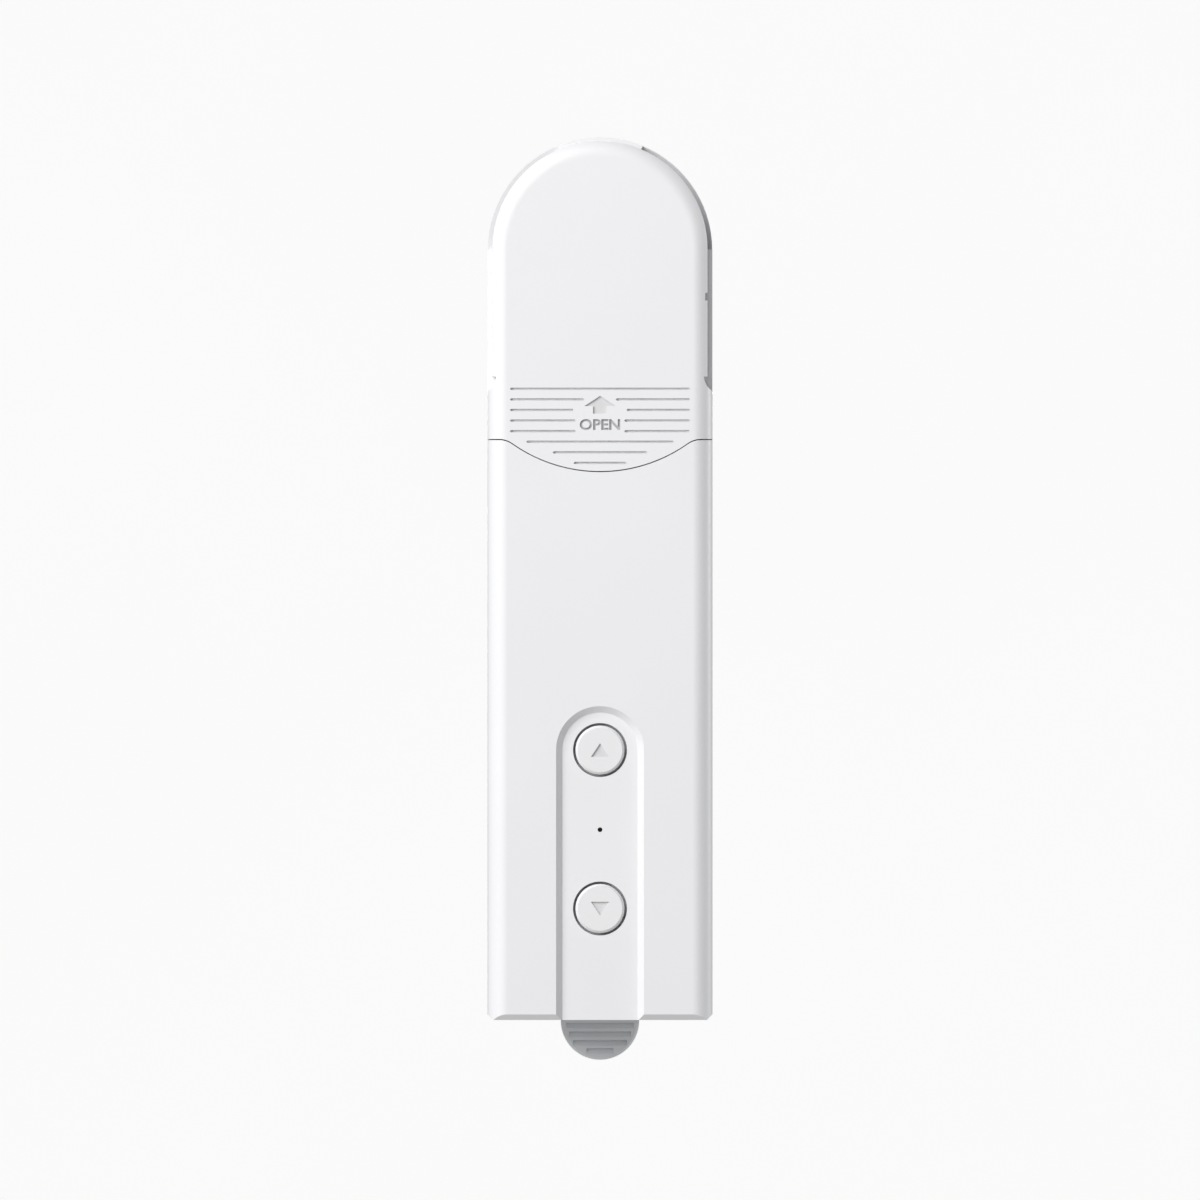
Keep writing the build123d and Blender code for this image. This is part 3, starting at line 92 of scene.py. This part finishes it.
def spread(tree, factor, low, high):
    """The factor's middle range stretched to run from low to high."""
    remap = tree.nodes.new("ShaderNodeMapRange")
    remap.inputs["From Min"].default_value = noise_low
    remap.inputs["From Max"].default_value = noise_high
    remap.inputs["To Min"].default_value = low
    remap.inputs["To Max"].default_value = high
    tree.links.new(factor, remap.inputs["Value"])
    return remap.outputs["Result"]


def raise_grain(tree, shader, factor, strength, height):
    """Turns the factor into fine relief on the shader."""
    bump = tree.nodes.new("ShaderNodeBump")
    bump.inputs["Strength"].default_value = strength
    bump.inputs["Distance"].default_value = height
    tree.links.new(factor, bump.inputs["Height"])
    tree.links.new(bump.outputs["Normal"], shader.inputs["Normal"])


def moulded_plastic(name, colour, roughness, grain=1500.0, relief=0.25):
    """Plastic from a spark-eroded mould: fine even grain, with faint cloudy colour."""
    material, tree, shader = new_material(name)
    clouds = noise(tree, scale=45.0, detail=4.0)
    grain_noise = noise(tree, scale=grain, detail=2.0)
    cloud_shade = 0.985
    shade = tuple(part * cloud_shade for part in colour)
    tree.links.new(blend_colours(tree, clouds, shade, colour), shader.inputs["Base Color"])
    sheen = spread(tree, grain_noise, low=roughness - 0.05, high=roughness + 0.06)
    tree.links.new(sheen, shader.inputs["Roughness"])
    raise_grain(tree, shader, grain_noise, strength=relief, height=0.02 * MM)
    shader.inputs["Specular IOR Level"].default_value = 0.42
    return material


def dress(material, *names):
    """Gives CAD nodes their material."""
    for name in names:
        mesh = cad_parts[name].data
        mesh.materials.clear()
        mesh.materials.append(material)


bracket_nylon = moulded_plastic(
    "bracket_nylon", colour=(0.78, 0.78, 0.79), roughness=0.52, grain=900.0
)
dress(bracket_nylon, "wall_bracket")

# Back shell: the tub of the case, injection moulded in white plastic with a satin grain outside.
# It carries the bracket guide, the screw bosses and the two slots where the chain goes in.
case_white = moulded_plastic("case_white", colour=(0.80, 0.80, 0.815), roughness=0.42)
dress(case_white, "rear_shell")

# Release tab and latch: a grey slider whose ribbed end is pulled down by hand, and the springy
# strip of natural acetal whose teeth it lifts out of the bracket's rack.
release_grey = moulded_plastic(
    "release_grey", colour=(0.74, 0.76, 0.775), roughness=0.5, grain=1800.0
)
dress(release_grey, "release_tab")
latch_acetal = moulded_plastic(
    "latch_acetal", colour=(0.70, 0.69, 0.64), roughness=0.38, grain=2500.0, relief=0.1
)
dress(latch_acetal, "latch_leaf")

# Motor: a deep-drawn steel can with a black nylon end bell, held by two screws under the shelf
# of the gearbox. Its ground steel shaft carries the worm.


def drawn_steel(name, colour, roughness, stretch, scale=900.0):
    """Metal with fine tool or roll marks, which run along the axes whose scale in stretch is small."""
    material, tree, shader = new_material(name)
    marks = noise(tree, scale, detail=4.0, stretch=stretch)
    clouds = noise(tree, scale=60.0, detail=3.0)
    cloud_shade = 0.88
    dull = tuple(part * cloud_shade for part in colour)
    tree.links.new(blend_colours(tree, clouds, dull, colour), shader.inputs["Base Color"])
    sheen = spread(tree, marks, low=roughness - 0.07, high=roughness + 0.08)
    tree.links.new(sheen, shader.inputs["Roughness"])
    raise_grain(tree, shader, marks, strength=0.12, height=0.01 * MM)
    shader.inputs["Metallic"].default_value = 1.0
    return material


can_steel = drawn_steel(
    "motor_can_steel", colour=(0.60, 0.61, 0.62), roughness=0.30, stretch=(1.0, 1.0, 0.05)
)
dress(can_steel, "motor_can")
bell_nylon = moulded_plastic(
    "end_bell_nylon", colour=(0.025, 0.025, 0.028), roughness=0.5, relief=0.3
)
dress(bell_nylon, "motor_end_bell")
ground_steel = drawn_steel(
    "ground_steel", colour=(0.58, 0.585, 0.59), roughness=0.22, stretch=(0.05, 0.05, 1.0), scale=2500.0
)
dress(ground_steel, "motor_shaft", "output_shaft", "gear_pins")

# Gears: injection moulded acetal, the worm pressed on the motor shaft and the others running on
# two fixed steel pins or fixed on the output shaft.
gear_acetal = moulded_plastic(
    "gear_acetal", colour=(0.74, 0.73, 0.67), roughness=0.33, grain=3000.0, relief=0.08
)
dress(gear_acetal, "worm", "worm_wheel", "idler_gear", "output_gear")

# Gearbox frame and plate: black glass-filled nylon, screwed in the back shell, with pressed
# sintered bronze bushes for the output shaft and the worm.
gearbox_nylon = moulded_plastic(
    "gearbox_nylon", colour=(0.035, 0.035, 0.04), roughness=0.55, grain=1100.0, relief=0.4
)
dress(gearbox_nylon, "gearbox_frame", "gearbox_plate")


def sintered_bronze(name):
    """Pressed metal powder: dull brown-yellow metal with open pores."""
    material, tree, shader = new_material(name)
    pores = tree.nodes.new("ShaderNodeTexVoronoi")
    pores.inputs["Scale"].default_value = 3500.0
    coordinates = tree.nodes.new("ShaderNodeTexCoord")
    tree.links.new(coordinates.outputs["Object"], pores.inputs["Vector"])
    depth = pores.outputs["Distance"]
    colour = blend_colours(tree, depth, dark=(0.28, 0.19, 0.09), light=(0.52, 0.37, 0.18))
    tree.links.new(colour, shader.inputs["Base Color"])
    tree.links.new(spread(tree, depth, low=0.5, high=0.38), shader.inputs["Roughness"])
    raise_grain(tree, shader, depth, strength=0.3, height=0.02 * MM)
    shader.inputs["Metallic"].default_value = 1.0
    return material


dress(sintered_bronze("bush_bronze"), "front_bush", "back_bush", "worm_bush")

# Chain sprocket: grey acetal wheel with a pocket for each bead between two flanges, held on the
# flat of the output shaft by a plated pan-head screw. The other screws are plated the same way.
sprocket_grey = moulded_plastic(
    "sprocket_grey", colour=(0.26, 0.27, 0.29), roughness=0.4, grain=2200.0, relief=0.15
)
dress(sprocket_grey, "chain_sprocket")
plated_steel = drawn_steel(
    "plated_steel", colour=(0.50, 0.50, 0.50), roughness=0.28, stretch=(1.0, 1.0, 1.0), scale=1800.0
)
dress(plated_steel, "sprocket_screw", "case_screws", "frame_screws", "motor_screws", "board_screws")

# Battery: two lithium cells in blue shrink film, side by side in an open tray of the gearbox's
# nylon, with a flat twin lead to the board. The motor has the same kind of lead.


def shrink_film(name, colour):
    """Glossy film drawn tight over a can, with faint wrinkles round it."""
    material, tree, shader = new_material(name)
    wrinkles = noise(tree, scale=120.0, detail=4.0, stretch=(1.0, 1.0, 6.0))
    clouds = noise(tree, scale=70.0, detail=2.0)
    cloud_shade = 0.8
    deep = tuple(part * cloud_shade for part in colour)
    tree.links.new(blend_colours(tree, clouds, deep, colour), shader.inputs["Base Color"])
    tree.links.new(spread(tree, wrinkles, low=0.16, high=0.3), shader.inputs["Roughness"])
    raise_grain(tree, shader, wrinkles, strength=0.2, height=0.05 * MM)
    shader.inputs["Coat Weight"].default_value = 0.3
    shader.inputs["Coat Roughness"].default_value = 0.12
    return material


dress(gearbox_nylon, "battery_tray")
dress(shrink_film("cell_film", colour=(0.03, 0.13, 0.36)), "battery_cells")
lead_insulation = moulded_plastic(
    "lead_insulation", colour=(0.32, 0.02, 0.02), roughness=0.36, grain=1200.0, relief=0.1
)
dress(lead_insulation, "motor_lead", "battery_lead")

# Circuit board: green lacquered glass laminate, screwed to four posts of the front shell, with
# the radio under its tinned shield, the control chip, two plugs, two button switches, the lamp
# with its light pipe and the charging socket.


def board_lacquer(name):
    """Solder lacquer over copper: darker green between the tracks, lighter on them."""
    material, tree, shader = new_material(name)
    coordinates = tree.nodes.new("ShaderNodeTexCoord")
    mapping = tree.nodes.new("ShaderNodeMapping")
    mapping.inputs["Rotation"].default_value = (radians(90), 0.0, 0.0)
    tracks = tree.nodes.new("ShaderNodeTexBrick")
    tracks.inputs["Scale"].default_value = 260.0
    tracks.inputs["Mortar Size"].default_value = 0.06
    tracks.inputs["Brick Width"].default_value = 1.6
    tracks.inputs["Row Height"].default_value = 0.42
    tracks.inputs["Color1"].default_value = (0.010, 0.115, 0.045, 1.0)
    tracks.inputs["Color2"].default_value = (0.014, 0.135, 0.055, 1.0)
    tracks.inputs["Mortar"].default_value = (0.030, 0.220, 0.095, 1.0)
    tree.links.new(coordinates.outputs["Object"], mapping.inputs["Vector"])
    tree.links.new(mapping.outputs["Vector"], tracks.inputs["Vector"])
    tree.links.new(tracks.outputs["Color"], shader.inputs["Base Color"])
    gloss = spread(tree, noise(tree, scale=800.0), low=0.2, high=0.32)
    tree.links.new(gloss, shader.inputs["Roughness"])
    raise_grain(tree, shader, tracks.outputs["Fac"], strength=0.4, height=0.03 * MM)
    shader.inputs["Coat Weight"].default_value = 0.25
    return material


dress(board_lacquer("board_lacquer"), "main_board")
tinned_sheet = drawn_steel(
    "tinned_sheet", colour=(0.66, 0.66, 0.64), roughness=0.33, stretch=(0.08, 1.0, 1.0)
)
dress(tinned_sheet, "radio_module", "usb_socket")
chip_resin = moulded_plastic(
    "chip_resin", colour=(0.03, 0.03, 0.032), roughness=0.45, grain=3000.0
)
dress(chip_resin, "control_chip", "board_plugs")
switch_black = moulded_plastic(
    "switch_black", colour=(0.03, 0.03, 0.03), roughness=0.4, grain=2500.0, relief=0.15
)
dress(switch_black, "tact_switches")
switch_pin_cream = moulded_plastic(
    "switch_pin_cream", colour=(0.62, 0.60, 0.54), roughness=0.35, grain=2500.0, relief=0.1
)
dress(switch_pin_cream, "switch_plunger_up", "switch_plunger_down")


def clear_acrylic(name):
    """Clear moulded plastic with a slight haze."""
    material, tree, shader = new_material(name)
    haze = noise(tree, scale=900.0)
    tree.links.new(spread(tree, haze, low=0.08, high=0.2), shader.inputs["Roughness"])
    tint = blend_colours(tree, haze, dark=(0.86, 0.88, 0.87), light=(0.92, 0.93, 0.92))
    tree.links.new(tint, shader.inputs["Base Color"])
    shader.inputs["Transmission Weight"].default_value = 0.85
    shader.inputs["IOR"].default_value = 1.49
    return material


dress(clear_acrylic("light_acrylic"), "status_led", "light_pipe")

# Front shell: the lower front of the case, moulded in the same white plastic as the back, with
# the sunk button channel, the lamp's pinhole and the slot for the charging plug.
dress(case_white, "front_shell")

# Push buttons: white caps that stand in the channel, each with a sunk triangle that points the
# way the shade goes. The sign is cut in a copy of the cap, which stands for it.
sign_depth = 0.35 * MM
cutter_rise = 1.0 * MM
weld_distance = 0.0005 * MM
sharpest_smooth_edge = radians(28)


def cut_signs(name, node, material, cutters):
    """A copy of a CAD piece with the cutters taken out of it, ready to stand for the piece."""
    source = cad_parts[node]
    piece = bpy.data.objects.new(name, source.data.copy())
    bpy.context.scene.collection.objects.link(piece)
    welded = bmesh.new()
    welded.from_mesh(piece.data)
    bmesh.ops.remove_doubles(welded, verts=welded.verts, dist=weld_distance)
    welded.to_mesh(piece.data)
    welded.free()
    piece.data.materials.clear()
    piece.data.materials.append(material)
    for cutter in cutters:
        cut = piece.modifiers.new("sign", "BOOLEAN")
        cut.operation = "DIFFERENCE"
        cut.solver = "EXACT"
        cut.material_mode = "TRANSFER"
        cut.object = cutter
    graph = bpy.context.evaluated_depsgraph_get()
    piece.data = bpy.data.meshes.new_from_object(piece.evaluated_get(graph))
    piece.data.name = name
    piece.modifiers.clear()
    for cutter in cutters:
        bpy.data.objects.remove(cutter)
    stale = [layer for layer in piece.data.attributes if layer.name in ("custom_normal", "sharp_face")]
    for layer in stale:
        piece.data.attributes.remove(layer)
    piece.data.shade_smooth()
    piece.data.set_sharp_from_angle(angle=sharpest_smooth_edge)
    flatter = piece.modifiers.new("flat_faces_stay_flat", "WEIGHTED_NORMAL")
    flatter.keep_sharp = True
    flatter.weight = 100
    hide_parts(node)
    return piece


def sign_block(name, corners, face_y, depth, material):
    """An upright prism for cutting a sign: corners in x and z, sunk by the depth behind the face."""
    mesh = bpy.data.meshes.new(name)
    front = [(x, face_y - cutter_rise, z) for x, z in corners]
    back = [(x, face_y + depth, z) for x, z in corners]
    count = len(corners)
    faces = [tuple(range(count)), tuple(range(2 * count - 1, count - 1, -1))]
    for i in range(count):
        j = (i + 1) % count
        faces.append((i, i + count, j + count, j))
    mesh.from_pydata(front + back, [], faces)
    mesh.materials.append(material)
    tidy = bmesh.new()
    tidy.from_mesh(mesh)
    bmesh.ops.recalc_face_normals(tidy, faces=tidy.faces)
    tidy.to_mesh(mesh)
    tidy.free()
    block = bpy.data.objects.new(name, mesh)
    bpy.context.scene.collection.objects.link(block)
    return block


triangle_half = 1.6 * MM
triangle_height = 2.4 * MM
button_white = moulded_plastic(
    "button_white", colour=(0.79, 0.79, 0.80), roughness=0.38, grain=2000.0, relief=0.2
)
# The cut faces of the sunk signs take this matt grey, darker than the white around them: painted shade
# in the recess.
sign_painted_shade = moulded_plastic(
    "sign_painted_shade", colour=(0.66, 0.66, 0.67), roughness=0.6, grain=2600.0, relief=0.4
)
for node, body, way in (("button_up", "up_button", 1), ("button_down", "down_button", -1)):
    low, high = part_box(node)
    middle = (low[2] + high[2]) / 2
    corners = [
        (-triangle_half, middle - way * triangle_height / 2),
        (triangle_half, middle - way * triangle_height / 2),
        (0.0, middle + way * triangle_height / 2),
    ]
    # The sunk triangle's faces are painted darker grey as shade.
    block = sign_block("sign_" + node, corners, low[1], sign_depth, sign_painted_shade)
    cap = cut_signs(node + "_cap", node, button_white, [block])
    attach(cap, body)

# Chain cover: the upper front, moulded in the case's white plastic. It slides up off the case by
# its grip grooves, and a sunk arrow with the word OPEN between them says so.
cover_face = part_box("chain_cover")[0][1]
case_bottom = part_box("rear_shell")[0][2]
arrow_tip = case_bottom + 110.85 * MM
arrow_base = case_bottom + 109.05 * MM
arrow_foot = case_bottom + 107.7 * MM
arrow_half = 2.75 * MM
stem_half = 1.22 * MM
word_middle = case_bottom + 105.75 * MM
word_width = 7.2 * MM
word_height = 1.96 * MM
arrow_corners = [
    (-stem_half, arrow_foot),
    (stem_half, arrow_foot),
    (stem_half, arrow_base),
    (arrow_half, arrow_base),
    (0.0, arrow_tip),
    (-arrow_half, arrow_base),
    (-stem_half, arrow_base),
]
# The sunk arrow's faces are painted darker grey as shade.
arrow = sign_block("sign_arrow", arrow_corners, cover_face, sign_depth, sign_painted_shade)


def word_block(text, middle_z, width, height, face_y, depth, material):
    """A word as an upright solid for cutting, fitted to a width and a height."""
    curve = bpy.data.curves.new("sign_word", "FONT")
    curve.body = text
    curve.extrude = 0.5
    curve.offset = 0.03
    curve.align_x = "CENTER"
    curve.resolution_u = 4
    letters = bpy.data.objects.new("sign_word_curve", curve)
    bpy.context.scene.collection.objects.link(letters)
    graph = bpy.context.evaluated_depsgraph_get()
    mesh = bpy.data.meshes.new_from_object(letters.evaluated_get(graph))
    bpy.data.objects.remove(letters)
    low_x = min(v.co.x for v in mesh.vertices)
    high_x = max(v.co.x for v in mesh.vertices)
    low_y = min(v.co.y for v in mesh.vertices)
    high_y = max(v.co.y for v in mesh.vertices)
    for vertex in mesh.vertices:
        across = (vertex.co.x - (low_x + high_x) / 2) / (high_x - low_x) * width
        up = (vertex.co.y - (low_y + high_y) / 2) / (high_y - low_y) * height
        into = face_y - cutter_rise if vertex.co.z > 0 else face_y + depth
        vertex.co = Vector((across, into, middle_z + up))
    welded = bmesh.new()
    welded.from_mesh(mesh)
    bmesh.ops.remove_doubles(welded, verts=welded.verts, dist=weld_distance)
    bmesh.ops.recalc_face_normals(welded, faces=welded.faces)
    welded.to_mesh(mesh)
    welded.free()
    mesh.materials.clear()
    mesh.materials.append(material)
    block = bpy.data.objects.new("sign_word", mesh)
    bpy.context.scene.collection.objects.link(block)
    return block


word_ink = moulded_plastic(
    "word_ink", colour=(0.50, 0.50, 0.51), roughness=0.6, grain=2600.0, relief=0.3
)
word = word_block("OPEN", word_middle, word_width, word_height, cover_face, sign_depth, word_ink)
cover = cut_signs("cover_with_signs", "chain_cover", case_white, [arrow, word])
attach(cover, "cover")

# Studio: a pale floor well below the case, an off-white backdrop far behind it and a dim even room.
# A large soft light stands in front on the left, a small one on the right and one behind, and the
# camera looks straight at the front through a long lens.


def pale_surface(name, glow):
    """Matt off-white paint, for the floor and the backdrop, which can also glow a little."""
    material, tree, shader = new_material(name)
    clouds = noise(tree, scale=2.0, detail=2.0)
    paint = blend_colours(tree, clouds, dark=(0.72, 0.72, 0.72), light=(0.75, 0.75, 0.75))
    tree.links.new(paint, shader.inputs["Base Color"])
    shader.inputs["Roughness"].default_value = 0.9
    shader.inputs["Emission Color"].default_value = (1.0, 1.0, 1.0, 1.0)
    shader.inputs["Emission Strength"].default_value = glow
    return material


def stage_plane(name, size, location, tilt, material):
    """A flat square of the studio."""
    half = size / 2
    corners = [(-half, -half, 0), (half, -half, 0), (half, half, 0), (-half, half, 0)]
    mesh = bpy.data.meshes.new(name)
    mesh.from_pydata(corners, [], [(0, 1, 2, 3)])
    mesh.materials.append(material)
    plane = bpy.data.objects.new(name, mesh)
    plane.location = location
    plane.rotation_euler = (tilt, 0.0, 0.0)
    bpy.context.scene.collection.objects.link(plane)


floor_paint = pale_surface("floor_paint", glow=0.40)
stage_plane("floor", size=300.0, location=(0.0, 0.0, -12.0), tilt=0.0, material=floor_paint)
backdrop_paint = pale_surface("backdrop_paint", glow=0.72)
stage_plane("backdrop", size=5.0, location=(0.0, 20.0, 0.0), tilt=radians(90), material=backdrop_paint)

object_middle = (0.0, -0.02, 0.02)


def soft_light(name, location, size, power):
    """A square soft box that faces the object, with its size in metres and its power in watts."""
    light = bpy.data.lights.new(name, "AREA")
    light.shape = "SQUARE"
    light.size = size
    light.energy = power
    lamp = bpy.data.objects.new(name, light)
    lamp.location = location
    aim = Vector(object_middle) - Vector(location)
    lamp.rotation_euler = aim.to_track_quat("-Z", "Y").to_euler()
    bpy.context.scene.collection.objects.link(lamp)


soft_light("key", location=(-0.80, -1.08, 0.70), size=1.2, power=27.6)
soft_light("rim", location=(1.35, 0.50, 0.25), size=0.5, power=10.0)
soft_light("back_fill", location=(-0.15, 1.70, 0.45), size=0.8, power=15.0)

world = bpy.data.worlds.new("studio_air")
world.use_nodes = True
air = world.node_tree.nodes["Background"]
air.inputs["Color"].default_value = (1.0, 1.0, 1.0, 1.0)
air.inputs["Strength"].default_value = 0.15
bpy.context.scene.world = world
bpy.context.scene.view_settings.view_transform = "Standard"

lens = 900.0
sensor = 36.0
frame_width = 213.1 * MM
view_middle = case_bottom + 74.6 * MM
camera_data = bpy.data.cameras.new("camera")
camera_data.lens = lens
camera_data.sensor_width = sensor
camera_data.clip_end = 100.0
camera = bpy.data.objects.new("camera", camera_data)
camera.location = (0.0, cover_face - frame_width * lens / sensor, view_middle)
camera.rotation_euler = (radians(90), 0.0, 0.0)
bpy.context.scene.collection.objects.link(camera)
bpy.context.scene.camera = camera
